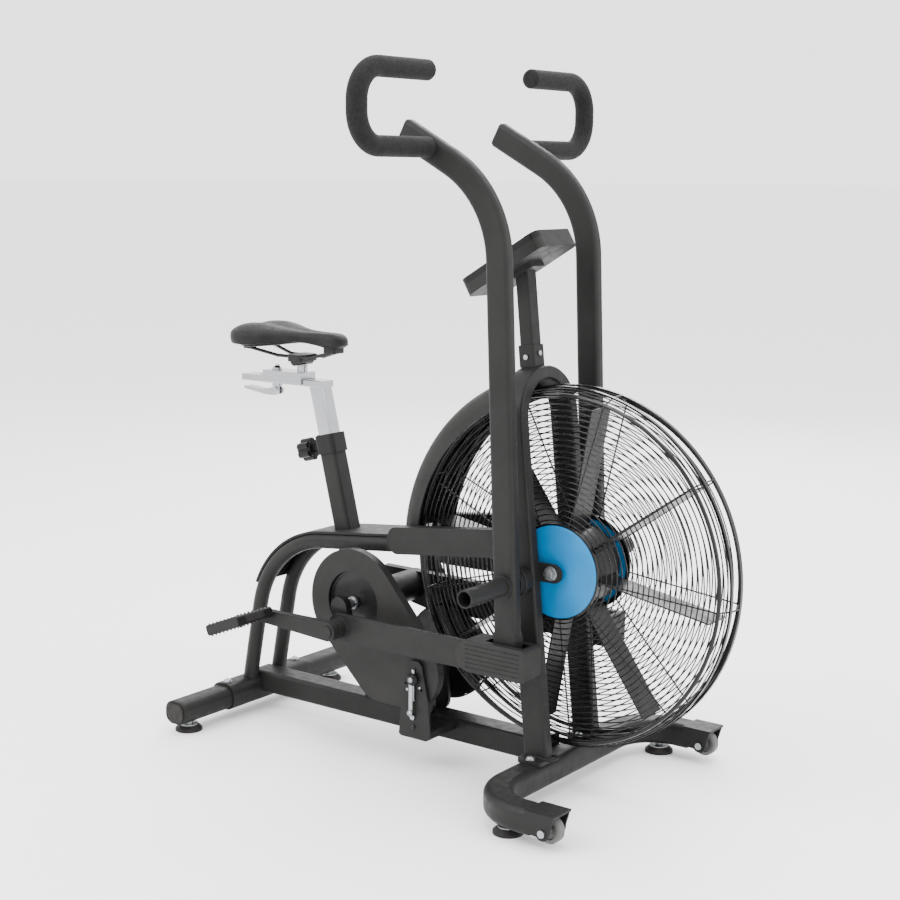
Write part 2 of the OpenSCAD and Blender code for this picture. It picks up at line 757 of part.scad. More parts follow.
beam_out = 92;
crank_bearing_r = 24;
jack_bearing_r = 16;

// Crank shell, the beam that carries it on the left, and the gusset to the seat tube
module drive_frame() color(frame_black) at_fan() difference() {
    union() {
        rod_y(bb, shell_r, -cover_far, beam_out);
        plate_xz(hoop_in, beam_out) polygon([[-520, 290], [-535, 304], [-535, 330], [-520, 344],
            [0, 341], [0, 268], [-405, 268]]);
        plate_xz(-8, 8) polygon([[-530, 285], [-530, 341], [-443, 341], [-443, 285]]);
    }
    plate_xz(hoop_in + wall, beam_out - wall) polygon([[-518, 298], [-518, 336], [0, 336],
        [0, 273], [-403, 273]]);
    rod_y(bb, crank_bearing_r, -cover_far - 1, beam_out + 1);
    seat_prism(200, 420, seat_tube_w, 7);
    hoop_leg_space();
}

// Two plates on the bottom tube that hold the jackshaft's bearings
module jackshaft_bracket() difference() {
    both_sides() plate_xz(22, 30) taper2d(jack, 24, jack - [0, 85], 34);
    rod_y(jack, jack_bearing_r, -31, 31);
    translate([jack.x - 60, -40, 0]) cube([120, 80, base_top - 1]);
}

module bearing(at, bore_r, r, y0, y1) turn_y(at)
    polygon([[bore_r + fit, y0], [r, y0], [r, y1], [bore_r + fit, y1]]);

// Bearings of the crank axle in its shell and of the jackshaft in its bracket
module drive_bearings() color(zinc) at_fan() {
    bearing(bb, crank_axle_r, crank_bearing_r, -cover_far, -cover_far + 14);
    bearing(bb, crank_axle_r, crank_bearing_r, beam_out - 14, beam_out);
    both_sides() bearing(jack, jack_shaft_r, jack_bearing_r, 22, 30);
}

// Plate in front of the chain cover, on a lug from the bottom tube
module tensioner_bracket() color(cover_grey) at_fan() {
    near = 128;
    difference() {
        plate_xz(-near, -near + 4) polygon([[-318, 70], [-312, 66], [-250, 66], [-239, 72],
            [-247, 150], [-262, 216], [-270, 224], [-290, 224], [-298, 216], [-310, 150]]);
        for (at = [[-300, 176], [-262, 168], [-282, 110]]) rod_y(at, 3, -near - 1, -near + 5);
        rod_y([-280, 195], 9, -near - 1, -near + 5);
    }
    translate([-312, -near + 4, 66]) cube([62, near - 4 - base_w / 2, 15]);
}

/* ---- Pivots, pegs and bolts ---- */

peg_axle_r = 12;
peg_r = 17;
peg_end_y = 282;

// Fixed pivot axles of the arms; the outer part of each is a foot peg
module foot_pegs() color(frame_black) at_fan() both_sides() {
    arm_in = arm_y - arm_t / 2;
    arm_out = arm_y + arm_t / 2;
    rod_y(pivot, peg_axle_r, hoop_in, hoop_r);
    rod_y(pivot, 24, hoop_r, arm_in - gap);
    rod_y(pivot, peg_axle_r, arm_in - gap, arm_out + gap);
    difference() {
        union() {
            rod_y(pivot, 22, arm_out + gap, arm_out + 7);
            rod_y(pivot, peg_r, arm_out + 7, peg_end_y);
        }
        rod_y(pivot, peg_r - 3, arm_out + 12, peg_end_y + 1);
    }
}

// Every visible bolt and screw of the frame, and the axles of the transport wheels
module frame_bolts() color(zinc) at_fan() {
    for (y = [-1, 1]) translate([-rear_x, y * 108, stab_mid_z + stab_h / 2 + 5]) dome_bolt(4, 20);
    hoop_bolts_at(stab_top + 8) dome_bolt(4, 24);
    both_sides() {
        rod_y(wheel_pos, wheel_axle_r, front_leg_y - stab_w / 2 - 2, front_leg_y + stab_w / 2 + 2);
        rod_y(wheel_pos, 7, front_leg_y + stab_w / 2, front_leg_y + stab_w / 2 + 4);
        rod_y(wheel_pos, 7, front_leg_y - stab_w / 2 - 4, front_leg_y - stab_w / 2);
    }
    translate([post_x(824), -18, 824]) rotate([90, 0, 0]) cylinder(r = 5, h = 3);
    translate([post_x(832) + 18 / cos(hoop_lean), 0, 832]) rotate([0, 90 - hoop_lean, 0])
        cylinder(r = 5, h = 3);
    translate([-282, -128, 110]) rotate([90, 0, 0]) cylinder(r = 6, h = 4, $fn = 6);
    translate([-280, -131, 150]) cylinder(r = 3, h = 52);
    translate([-280, -131, 202]) cylinder(r = 3.2, h = 6);
    translate([-280, -131, 144]) cylinder(r = 3.2, h = 6, $fn = 6);
}

/* ---- Cranks and drive ---- */

throw_in = 148;
throw_out = 164;
crank_in = 199;
crank_out = 215;
pedal_in = 222;
pedal_out = 322;
spindle_r = 6;

module crank_axle() color(zinc) at_fan() {
    rod_y(bb, crank_axle_r, -throw_in, throw_in);
    rod_y(bb, 13, -cover_far - 20, -cover_far - 13);
    rod_y(bb, 13, beam_out + gap, beam_out + 8);
}

// Inner crank arms: from the axle to each link pin
module crank_throws() color(gloss_black) at_fan() {
    plate_xz(-throw_out, -throw_in) taper2d(bb, 20, throw_pos, 15);
    plate_xz(throw_in, throw_out) taper2d(bb, 20, opposite_throw, 15);
}

// Outer pedal cranks with their pedal spindles
module pedal_cranks() color(frame_black) at_fan() {
    pedal_crank(-1, throw_pos, pedal_pos);
    pedal_crank(1, opposite_throw, opposite_pedal);
}

module pedal_crank(side, pin, pedal) mirror([0, side < 0 ? 1 : 0, 0]) {
    plate_xz(crank_in, crank_out) taper2d(pin, 19, pedal, 13);
    rod_y(pin, 12, crank_out, crank_out + 3);
    rod_y(pedal, spindle_r, crank_out, pedal_out - 3);
    rod_y(pedal, 8, crank_out, pedal_in - 1);
}

// Chain ring: solid web with a round window pattern behind the cover's opening
module drive_sprocket() color(cover_grey) at_fan() difference() {
    rod_y(bb, drive_r - chain_half_t - gap, chain_y - chain_w / 2, chain_y + chain_w / 2);
    rod_y(bb, crank_axle_r, chain_y - chain_w, chain_y + chain_w);
    rod_y(bb, 58, chain_y - chain_w, chain_y - 1);
}

// Band of a given thickness around wheels of one plane
module wrap(wheels, thick, y0, y1) plate_xz(y0, y1) difference() {
    polygon(belt_loop(wheels, -thick));
    polygon(belt_loop(wheels, 0));
}

module drive_chain() color(zinc) at_fan()
    wrap([[bb, drive_r - chain_half_t], [jack, jack_r - chain_half_t]], 2 * chain_half_t,
        chain_y - chain_w / 2, chain_y + chain_w / 2);

module drive_belt() color(rubber_black) at_fan()
    wrap([[jack, drum_r + gap], [[0, fan_z], fan_pulley_r + gap]], belt_t,
        belt_y - belt_w / 2, belt_y + belt_w / 2);

// Jackshaft with its small sprocket and two collars
module jackshaft() color(zinc) at_fan() {
    rod_y(jack, jack_shaft_r, chain_y - chain_w / 2 - 1, belt_y + belt_w / 2);
    rod_y(jack, jack_r - chain_half_t - gap, chain_y - chain_w / 2, chain_y + chain_w / 2);
    both_sides() rod_y(jack, 14, 30 + gap, 38);
}

// Large belt pulley at the jackshaft's left end
module drum_pulley() color(gloss_black) at_fan() {
    near = belt_y - belt_w / 2;
    difference() {
        rod_y(jack, drum_r, near, near + belt_w);
        rod_y(jack, jack_shaft_r, near - 1, near + belt_w + 1);
        turn_y(jack) polygon([[24, near + 6], [drum_r - 8, near + 6],
            [drum_r - 8, near + belt_w + 1], [24, near + belt_w + 1]]);
    }
}

/* ---- Pedals ---- */

pedal_len = 92;
pedal_h = 22;
pedal_tilt = 22;

// Cage pedal around its spindle, with its front edge raised at rest
module pedal(side, at) mirror([0, side < 0 ? 1 : 0, 0]) translate([at.x, 0, at.y])
    rotate([0, -pedal_tilt, 0]) difference() {
        union() {
            difference() {
                bar_y(pedal_in, pedal_out, 0, 0, pedal_len, pedal_h, 6);
                for (s = [-1, 1]) translate([s * 26 - 12, pedal_in + 9, -pedal_h])
                    cube([24, pedal_out - pedal_in - 18, 2 * pedal_h]);
            }
            rod_y([0, 0], 10.5, pedal_in, pedal_out);
        }
        rod_y([0, 0], spindle_r + fit, pedal_in - 1, pedal_out - 3 + gap);
    }

module pedal_right() color(gloss_black) at_fan() pedal(-1, pedal_pos);
module pedal_left() color(gloss_black) at_fan() pedal(1, opposite_pedal);

/* ---- Arms ---- */

// Frame of one arm: origin at its pivot, Z up the arm
module arm_frame(side) translate([pivot.x, side * arm_y, pivot.y]) rotate([0, -arm_lean, 0]) children();

module arm_profile(inset) round_rect(arm_d - 2 * inset, arm_t - 2 * inset, 9 - inset);

// Frame at the end of the bend, Z along the straight end
module arm_end_frame()
    translate([arm_bend_r * (cos(arm_turn) - 1), 0, arm_straight + arm_bend_r * sin(arm_turn)])
        rotate([0, -arm_turn, 0]) children();

module arm(side) difference() {
    union() {
        difference() {
            union() {
                arm_frame(side) {
                    arm_tube(0, 45 - arm_lower);
                    plate_xz(-arm_t / 2, arm_t / 2)
                        taper2d([0, -arm_lower], 21, [0, 45 - arm_lower], arm_d / 2);
                    arm_end_frame() translate([0, 0, arm_end_len]) linear_extrude(4) arm_profile(2);
                }
            }
            arm_frame(side) arm_tube(wall, 60 - arm_lower);
        }
        arm_frame(side) rod_y([0, 0], peg_axle_r + 6, -arm_t / 2, arm_t / 2);
        difference() {
            handle_sweep(side, handle_tube_r, arm_y - arm_t / 2, 172);
            handle_sweep(side, handle_tube_r - wall, arm_y - arm_t / 2 + 3, 175);
        }
    }
    arm_frame(side) {
        rod_y([0, 0], peg_axle_r + fit, -arm_t, arm_t);
        rod_y([0, -arm_lower], pin_r + fit, -arm_t, arm_t);
    }
}

// Arm tube above z0: straight run, bend and straight end
module arm_tube(inset, z0) {
    translate([0, 0, z0]) linear_extrude(arm_straight - z0) arm_profile(inset);
    translate([-arm_bend_r, 0, arm_straight]) rotate([90, 0, 0])
        rotate_extrude(angle = arm_turn, $fn = 96) translate([arm_bend_r, 0]) arm_profile(inset);
    arm_end_frame() linear_extrude(arm_end_len) arm_profile(inset);
}

// Handle loop in a plane across the machine: low run, two bends, high run back to the middle
module handle_sweep(side, r, y_low, y_tip) mirror([0, side < 0 ? 1 : 0, 0]) translate([handle_x, 0, 0]) {
    bend_y = handle_out_y - handle_bend_r;
    rod_y([0, handle_low_z], r, y_low, bend_y);
    rod_y([0, handle_high_z], r, y_tip, bend_y);
    translate([0, handle_out_y, handle_low_z + handle_bend_r])
        cylinder(r = r, h = handle_high_z - handle_low_z - 2 * handle_bend_r);
    translate([0, bend_y, handle_low_z + handle_bend_r]) rotate([90, 0, 90]) rotate([0, 0, -90])
        rotate_extrude(angle = 90, $fn = 96) translate([handle_bend_r, 0]) circle(r);
    translate([0, bend_y, handle_high_z - handle_bend_r]) rotate([90, 0, 90])
        rotate_extrude(angle = 90, $fn = 96) translate([handle_bend_r, 0]) circle(r);
}

module arm_right() color(frame_black) at_fan() arm(-1);
module arm_left() color(frame_black) at_fan() arm(1);

// Foam sleeve on the handle tube with a closed, rounded tip
module grip(side) {
    difference() {
        handle_sweep(side, grip_r, arm_y + arm_t / 2 + gap, 172);
        handle_sweep(side, handle_tube_r, arm_y, 172);
    }
    mirror([0, side < 0 ? 1 : 0, 0]) turn_y([handle_x, handle_high_z])
        polygon([[0, 161], [grip_r - 6, 161], [grip_r - 2, 163], [grip_r, 167], [grip_r, 172], [0, 172]]);
}

module grip_right() color(foam_black) at_fan() grip(-1);
module grip_left() color(foam_black) at_fan() grip(1);

/* ---- Links ---- */

bearing_r = 20;
bearing_out = 198;
shell_rear = -143;
shell_front = 12;
shell_low = 246;
shell_high = 308;
shell_in = 123;
shell_out = 180;
shell_wall = 3;

// Flat link bar with its front pin and its rear bearing housing
module link(side, pin) mirror([0, side < 0 ? 1 : 0, 0]) {
    plate_xz(link_far, link_near) slot2d([pin.x, link_z], [low_pin.x, link_z], link_h / 2);
    rod_y(low_pin, pin_r, shell_in + shell_wall + 1, link_far);
    rod_y(low_pin, 11, link_far - 4, link_far);
    rod_y(pin, bearing_r, link_near, bearing_out - 0.5);
    rod_y(pin, bearing_r + 2.5, link_near, link_near + 2);
    rod_y(pin, 13, throw_out + 1.5, link_far);
}

module link_right() color(frame_black) at_fan() link(-1, throw_pos);
module link_left() color(frame_black) at_fan() link(1, [opposite_throw.x, throw_pos.y]);

// Ribbed shell around the joint of an arm and its link
module link_cover(side) mirror([0, side < 0 ? 1 : 0, 0]) difference() {
    plate_xz(shell_in, shell_out) shell_outline(0);
    plate_xz(shell_in + shell_wall, shell_out - shell_wall) shell_outline(shell_wall);
    translate([low_pin.x - 42, arm_y - arm_t / 2 - 3, shell_high - 8]) cube([84, arm_t + 6, 20]);
    plate_xz(link_far - gap, link_near + gap)
        translate([shell_rear - 60, link_z - link_h / 2 - gap]) square([100, link_h + 2 * gap]);
    for (i = [0:5]) translate([shell_rear + 24, shell_out - 1, shell_low + 9 + i * 8.5])
        cube([shell_front - shell_rear - 34, 3, 2]);
}

// Shell seen from the side: round rear end, small front corners
module shell_outline(inset) {
    mid = (shell_low + shell_high) / 2;
    r = (shell_high - shell_low) / 2 - inset;
    w = shell_front - shell_rear;
    translate([shell_rear + r + inset, mid]) circle(r);
    translate([shell_rear + w / 2 + 20, mid]) round_rect(w - 40 - 2 * inset, 2 * r, 7 - inset);
    translate([shell_rear + r + inset, mid - r]) square([40, 2 * r]);
}

module link_cover_right() color(cover_grey) at_fan() link_cover(-1);
module link_cover_left() color(cover_grey) at_fan() link_cover(1);

/* ---- Seat ---- */

rail_w = 38;
rail_low_z = post_top_z;
rail_rear_x = -838;
rail_front_x = -612;
slot_half = 45;
clamp_x = -681;
clamp_z = 774;
stud_x = -752;
lever_z = 704;
lever_pin_r = 3;

module seat_post() color(chrome) at_fan() difference() {
    seat_prism(310, post_top_z, post_w, 3.7);
    seat_prism(309, post_top_z - 6, post_w - 5, 2);
}

module seat_rail() color(chrome) at_fan() difference() {
    bar_x(rail_rear_x, rail_front_x, 0, (rail_low_z + seat_rail_z) / 2, rail_w, seat_rail_z - rail_low_z, 2);
    translate([stud_x, 0, 0]) linear_extrude(1000)
        slot2d([-slot_half, 0], [slot_half, 0], 6);
}

// Carriage on the rail with its clamp stud and the chrome stub of the saddle clamp
module saddle_slider() color(chrome) at_fan() {
    low = seat_rail_z + 0.3;
    translate([-773, -rail_w / 2 - 4, low]) cube([108, rail_w + 8, 13]);
    both_sides() translate([-773, rail_w / 2 + 0.4, low - 11]) cube([108, 3.6, 11]);
    translate([stud_x, 0, lever_z - 6]) cylinder(r = 5, h = low + 30 - lever_z);
    translate([stud_x, 0, low + 13]) dome_bolt(5, 0.1);
    rod_y([stud_x, lever_z], lever_pin_r, -10.8, 10.8);
    translate([stud_x, 0, lever_z + 9.6]) cylinder(r = 11, h = rail_low_z - gap - lever_z - 9.6);
    translate([clamp_x, 0, low + 13]) cylinder(r = 11, h = clamp_z - 10.5 - low - 13);
}

// Clamp head with the two wire rails that carry the saddle
module saddle_clamp() color(gloss_black) at_fan() {
    rod_y([clamp_x, clamp_z], 10, -26, 26);
    translate([clamp_x, 0, clamp_z - 1]) linear_extrude(14.5) round_rect(38, 58, 8);
    both_sides() {
        for (i = [0:2]) wire(wire_points[i], wire_points[i + 1]);
        for (p = wire_points) translate(p) rotate([90, 90, 0]) sphere(4, $fn = 24);
    }
}

wire_points = [[-795, 38, 797], [-730, 22, 783], [-640, 22, 783], [-590, 9, 797]];

module wire(a, b) {
    d = b - a;
    translate(a) rotate([0, acos(d.z / norm(d)), atan2(d.y, d.x)]) cylinder(r = 3.5, h = norm(d));
}

// Cushion: one closed form, wide at the back and narrow at the nose
module saddle() color(rubber_black) at_fan() hull() {
    wing_r = 46;
    nose_r = 21;
    mid_z = saddle_top - saddle_thick / 2;
    for (y = [-1, 1]) translate([-saddle_back + wing_r, y * (saddle_w / 2 - wing_r), mid_z])
        scale([1, 1, saddle_thick / 2 / wing_r]) sphere(wing_r, $fn = 32);
    translate([-saddle_back + saddle_len - nose_r, 0, mid_z - 4])
        scale([1, 1, 0.9]) sphere(nose_r, $fn = 32);
}

// Cam lever under the rail, turned up to lie along it
module qr_lever() color(chrome) at_fan() difference() {
    union() {
        for (y = [-11, 6]) plate_xz(y, y + 5)
            taper2d([stud_x, lever_z], 9, [stud_x - 30, lever_z - 4], 5);
        plate_xz(-11, 11) taper2d([stud_x - 28, lever_z - 4], 4.5, [stud_x - 84, lever_z + 2], 3);
    }
    rod_y([stud_x, lever_z], lever_pin_r + fit, -12, 12);
}

// Lobed knob on a threaded neck; it presses on the seat post
module height_knob() color(gloss_black) at_fan() seat_frame(collar_z) rotate([0, -90, 0]) {
    face = post_w / 2 + 0.4;
    translate([0, 0, face]) cylinder(r = 4, h = 50);
    translate([0, 0, seat_tube_w / 2 + 12.4]) cylinder(r = 9, h = 14);
    knob_start = seat_tube_w / 2 + 26;
    translate([0, 0, knob_start]) {
        cylinder(r = 18, h = 34);
        for (i = [0:5]) rotate(i * 60) translate([16, 0, 4]) cylinder(r = 8, h = 28);
        translate([0, 0, 34]) cylinder(r = 14, h = 4);
    }
}

/* ---- Transport wheels ---- */

module transport_wheel(side) translate([0, side * front_leg_y, 0]) turn_y(wheel_pos)
    polygon([[wheel_axle_r + fit, -wheel_w / 2], [10, -wheel_w / 2], [10, -5], [17, -5],
        [17, -wheel_w / 2 + 2], [wheel_r - 3, -wheel_w / 2 + 2], [wheel_r, -wheel_w / 2 + 5],
        [wheel_r, wheel_w / 2 - 5], [wheel_r - 3, wheel_w / 2 - 2], [17, wheel_w / 2 - 2],
        [17, 5], [10, 5], [10, wheel_w / 2], [wheel_axle_r + fit, wheel_w / 2]]);

module transport_wheel_right() color(tread_grey) at_fan() transport_wheel(-1);
module transport_wheel_left() color(tread_grey) at_fan() transport_wheel(1);

bottom_tube();
rear_stabilizer();
stabilizer_caps();
front_stabilizer();
link_cover_right();
foot_pads();
foot_studs();
rear_arches();
top_deck();
seat_tube();
seat_collar();
side_rails();
hoop();
fender();
console_post();
console_case();
console_face();
console_screen();
start_button();
stop_button();
cage_right();
cage_left();
hub_discs();
fan_bearings();
fan_axle();
fan_hub();
fan_blades();
fan_pulley();
chain_cover();
drive_frame();
drive_bearings();
tensioner_bracket();
foot_pegs();
frame_bolts();
link_cover_left();
crank_axle();
crank_throws();
pedal_cranks();
drive_sprocket();
pedal_right();
pedal_left();
jackshaft();
drum_pulley();
drive_chain();
drive_belt();
arm_right();
arm_left();
grip_right();
grip_left();
link_right();
link_left();
seat_post();
seat_rail();
saddle_slider();
saddle_clamp();
saddle();
qr_lever();
height_knob();
transport_wheel_right();
transport_wheel_left();
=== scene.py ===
"""Looks of an air bike. The CAD frame gives every place; all lengths are in metres."""
import json
import math

import bmesh
import bpy
from mathutils import Matrix, Vector


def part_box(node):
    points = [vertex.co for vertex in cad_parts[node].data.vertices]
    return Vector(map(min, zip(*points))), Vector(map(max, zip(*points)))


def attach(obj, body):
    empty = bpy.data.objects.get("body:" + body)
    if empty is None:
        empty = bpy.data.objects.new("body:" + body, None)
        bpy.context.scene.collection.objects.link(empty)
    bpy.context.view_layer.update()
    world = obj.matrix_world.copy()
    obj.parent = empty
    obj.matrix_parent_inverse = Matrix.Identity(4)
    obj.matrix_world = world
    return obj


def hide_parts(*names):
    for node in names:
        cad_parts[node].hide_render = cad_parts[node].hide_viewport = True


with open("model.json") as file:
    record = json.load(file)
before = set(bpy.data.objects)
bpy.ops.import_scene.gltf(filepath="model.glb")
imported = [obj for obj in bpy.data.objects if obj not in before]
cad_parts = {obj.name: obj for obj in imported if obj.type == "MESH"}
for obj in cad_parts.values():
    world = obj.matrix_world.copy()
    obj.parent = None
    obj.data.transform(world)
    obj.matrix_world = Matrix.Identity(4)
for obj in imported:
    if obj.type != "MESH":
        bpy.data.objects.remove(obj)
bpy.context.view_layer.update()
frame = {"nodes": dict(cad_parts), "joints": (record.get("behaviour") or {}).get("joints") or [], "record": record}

AXIS_X, AXIS_Y, AXIS_Z = Vector((1, 0, 0)), Vector((0, 1, 0)), Vector((0, 0, 1))
SIDES = ((-1, "right"), (1, "left"))

# ---------------------------------------------------------------- camera, light, floor

CAMERA_PLACE = Vector((1.8937, -2.607, 1.169))
CAMERA_YAW = math.radians(36.64)
CAMERA_DOWN = math.radians(9.52)
CAMERA_ROLL = math.radians(0.47)
LENS_MM = 66.6
SENSOR_MM = 36.0
FLOOR_RADIUS = 180.0
VIEW_RANGE = 400.0
WORLD_STRENGTH = 2.6
LIGHT_TARGET = Vector((0.0, 0.0, 0.6))
# Name, place, width and height, watts
LIGHTS = [
    ("key", (-1.6, -3.2, 3.4), (2.4, 2.4), 190),
    ("top", (0.4, 0.6, 4.2), (3.0, 3.0), 150),
    ("side", (4.0, 0.2, 1.8), (1.6, 2.6), 90),
    ("back", (-1.5, 3.6, 2.6), (2.4, 2.0), 110),
]


def mesh_of(work, name):
    """Turns a bmesh into a mesh and frees it."""
    mesh = bpy.data.meshes.new(name)
    work.to_mesh(mesh)
    work.free()
    return mesh


def add_camera():
    data = bpy.data.cameras.new("camera")
    data.lens = LENS_MM
    data.sensor_width = SENSOR_MM
    data.clip_end = VIEW_RANGE
    cam = bpy.data.objects.new("camera", data)
    turn = (
        Matrix.Rotation(CAMERA_YAW, 4, "Z")
        @ Matrix.Rotation(math.pi / 2 - CAMERA_DOWN, 4, "X")
        @ Matrix.Rotation(CAMERA_ROLL, 4, "Z")
    )
    cam.matrix_world = Matrix.Translation(CAMERA_PLACE) @ turn
    bpy.context.scene.collection.objects.link(cam)
    bpy.context.scene.camera = cam


def area_light(name, place, size, watts):
    data = bpy.data.lights.new(name, "AREA")
    data.shape = "RECTANGLE"
    data.size, data.size_y = size
    data.energy = watts
    light = bpy.data.objects.new(name, data)
    light.location = place
    light.rotation_euler = (LIGHT_TARGET - Vector(place)).to_track_quat("-Z", "Y").to_euler()
    bpy.context.scene.collection.objects.link(light)


def add_lights():
    world = bpy.data.worlds.new("studio")
    world.use_nodes = True
    back = world.node_tree.nodes["Background"]
    back.inputs["Color"].default_value = (1.0, 1.0, 1.0, 1.0)
    back.inputs["Strength"].default_value = WORLD_STRENGTH
    bpy.context.scene.world = world
    for light in LIGHTS:
        area_light(*light)


def add_floor():
    work = bmesh.new()
    bmesh.ops.create_circle(work, cap_ends=True, segments=96, radius=FLOOR_RADIUS)
    mesh = mesh_of(work, "floor")
    floor = bpy.data.objects.new("floor", mesh)
    bpy.context.scene.collection.objects.link(floor)
    mat = bpy.data.materials.new("floor_white")
    mat.use_nodes = True
    shader = mat.node_tree.nodes["Principled BSDF"]
    shader.inputs["Base Color"].default_value = (0.93, 0.93, 0.93, 1.0)
    shader.inputs["Roughness"].default_value = 0.7
    mesh.materials.append(mat)


# ---------------------------------------------------------------- materials

# The band of a noise's values that carries its light and dark patches
NOISE_FROM, NOISE_TO = 0.35, 0.65
# Cosines of the angle between rounded and plain normal: edge with painted highlight and wear, open face
EDGE_FROM, EDGE_TO = 0.86, 0.99
# Sockets of a Mix node that mixes colours
MIX_FACTOR, MIX_A, MIX_B, MIX_RESULT = 0, 6, 7, 2
EDGE_RADIUS = 0.0012


class Surface:
    """A node material in the making: object coordinates, one principled shader."""

    def __init__(self, name):
        self.mat = bpy.data.materials.new(name)
        self.mat.use_nodes = True
        self.tree = self.mat.node_tree
        self.shader = self.tree.nodes["Principled BSDF"]
        self.place = self.add("ShaderNodeTexCoord").outputs["Object"]
        self.normal = None

    def add(self, kind, **values):
        node = self.tree.nodes.new(kind)
        for key, value in values.items():
            setattr(node, key, value)
        return node

    def link(self, out, into):
        self.tree.links.new(out, into)

    def inputs(self, **values):
        """Sets plain numbers on the shader, such as coat_weight=0.3."""
        for key, value in values.items():
            name = key.replace("_", " ").title().replace("Ior", "IOR")
            self.shader.inputs[name].default_value = value

    def noise(self, scale, detail=3.0):
        node = self.add("ShaderNodeTexNoise")
        node.inputs["Scale"].default_value = scale
        node.inputs["Detail"].default_value = detail
        self.link(self.place, node.inputs["Vector"])
        return node.outputs["Fac"]

    def cells(self, scale):
        node = self.add("ShaderNodeTexVoronoi", feature="DISTANCE_TO_EDGE")
        node.inputs["Scale"].default_value = scale
        self.link(self.place, node.inputs["Vector"])
        return node.outputs["Distance"]

    def ramp(self, fac, low, high):
        node = self.add("ShaderNodeValToRGB")
        start, end = node.color_ramp.elements
        start.position, start.color = NOISE_FROM, (*low, 1.0)
        end.position, end.color = NOISE_TO, (*high, 1.0)
        self.link(fac, node.inputs["Fac"])
        return node.outputs["Color"]

    def remap(self, fac, low, high, start=NOISE_FROM, end=NOISE_TO):
        node = self.add("ShaderNodeMapRange")
        node.inputs["From Min"].default_value = start
        node.inputs["From Max"].default_value = end
        node.inputs["To Min"].default_value = low
        node.inputs["To Max"].default_value = high
        self.link(fac, node.inputs["Value"])
        return node.outputs["Result"]

    def rounded_normal(self, radius):
        node = self.add("ShaderNodeBevel", samples=4)
        node.inputs["Radius"].default_value = radius
        return node.outputs["Normal"]

    def highlight_and_wear_mask(self, radius):
        """1 along sharp edges, 0 on open faces; it marks where edges get a painted highlight and some wear."""
        plain = self.add("ShaderNodeNewGeometry")
        dot = self.add("ShaderNodeVectorMath", operation="DOT_PRODUCT")
        self.link(self.rounded_normal(radius), dot.inputs[0])
        self.link(plain.outputs["Normal"], dot.inputs[1])
        return self.remap(dot.outputs["Value"], 1.0, 0.0, EDGE_FROM, EDGE_TO)

    def mix(self, fac, a, b):
        """The colour of socket a where fac is 0, and the plain colour b where it is 1."""
        node = self.add("ShaderNodeMix", data_type="RGBA")
        self.link(fac, node.inputs[MIX_FACTOR])
        self.link(a, node.inputs[MIX_A])
        node.inputs[MIX_B].default_value = (*b, 1.0)
        return node.outputs[MIX_RESULT]

    def round_edges(self, radius):
        self.normal = self.rounded_normal(radius)

    def bump(self, height, strength, distance):
        node = self.add("ShaderNodeBump")
        node.inputs["Strength"].default_value = strength
        node.inputs["Distance"].default_value = distance
        self.link(height, node.inputs["Height"])
        if self.normal:
            self.link(self.normal, node.inputs["Normal"])
        self.normal = node.outputs["Normal"]

    def finish(self, color, rough):
        self.link(color, self.shader.inputs["Base Color"])
        self.link(rough, self.shader.inputs["Roughness"])
        if self.normal:
            self.link(self.normal, self.shader.inputs["Normal"])
        return self.mat


def shade(color, factor):
    return tuple(c * factor for c in color)


def powder_coat(name, color):
    s = Surface(name)
    s.inputs(specular_ior_level=0.13)
    s.round_edges(EDGE_RADIUS)
    s.bump(s.noise(900.0, detail=2.0), strength=0.22, distance=0.0004)
    tone = s.ramp(s.noise(14.0, detail=4.0), shade(color, 0.88), shade(color, 1.12))
    # Edges painted 1.9 times lighter: a painted highlight along the rims, partly edge wear
    tone = s.mix(s.highlight_and_wear_mask(EDGE_RADIUS), tone, shade(color, 1.9))
    return s.finish(tone, s.remap(s.noise(60.0), 0.41, 0.53))


def moulded(name, color, rough, grain=0.18):
    s = Surface(name)
    s.inputs(specular_ior_level=0.14)
    s.round_edges(0.001)
    s.bump(s.cells(700.0), strength=grain, distance=0.0003)
    tone = s.ramp(s.noise(22.0, detail=4.0), shade(color, 0.9), shade(color, 1.12))
    return s.finish(tone, s.remap(s.noise(45.0), rough - 0.05, rough + 0.06))


def glossy(name, color, rough=0.22, coat=0.3):
    s = Surface(name)
    s.inputs(coat_weight=coat, coat_roughness=0.08, specular_ior_level=0.2)
    s.round_edges(0.0008)
    s.bump(s.noise(320.0, detail=2.0), strength=0.05, distance=0.0004)
    tone = s.ramp(s.noise(18.0, detail=4.0), shade(color, 0.92), shade(color, 1.08))
    return s.finish(tone, s.remap(s.noise(80.0, detail=5.0), rough - 0.05, rough + 0.08))


def plated(name, color, low, high):
    s = Surface(name)
    s.inputs(metallic=1.0)
    s.round_edges(0.0008)
    mottle = s.noise(260.0, detail=4.0)
    s.bump(mottle, strength=0.04, distance=0.0002)
    tone = s.ramp(s.noise(30.0, detail=4.0), shade(color, 0.93), color)
    return s.finish(tone, s.remap(mottle, low, high))


def foam(name, color):
    s = Surface(name)
    s.inputs(sheen_weight=0.03, sheen_roughness=0.5, specular_ior_level=0.1)
    s.bump(s.cells(1400.0), strength=0.5, distance=0.0005)
    s.bump(s.noise(70.0, detail=4.0), strength=0.2, distance=0.0012)
    tone = s.ramp(s.noise(120.0, detail=5.0), shade(color, 0.8), shade(color, 1.2))
    return s.finish(tone, s.remap(s.noise(200.0), 0.72, 0.88))


def rubber(name, color, rough=0.62):
    s = Surface(name)
    s.inputs(specular_ior_level=0.2)
    s.round_edges(EDGE_RADIUS)
    s.bump(s.noise(500.0, detail=4.0), strength=0.3, distance=0.0005)
    tone = s.ramp(s.noise(40.0, detail=5.0), shade(color, 0.8), shade(color, 1.25))
    return s.finish(tone, s.remap(s.noise(90.0), rough - 0.08, rough + 0.1))


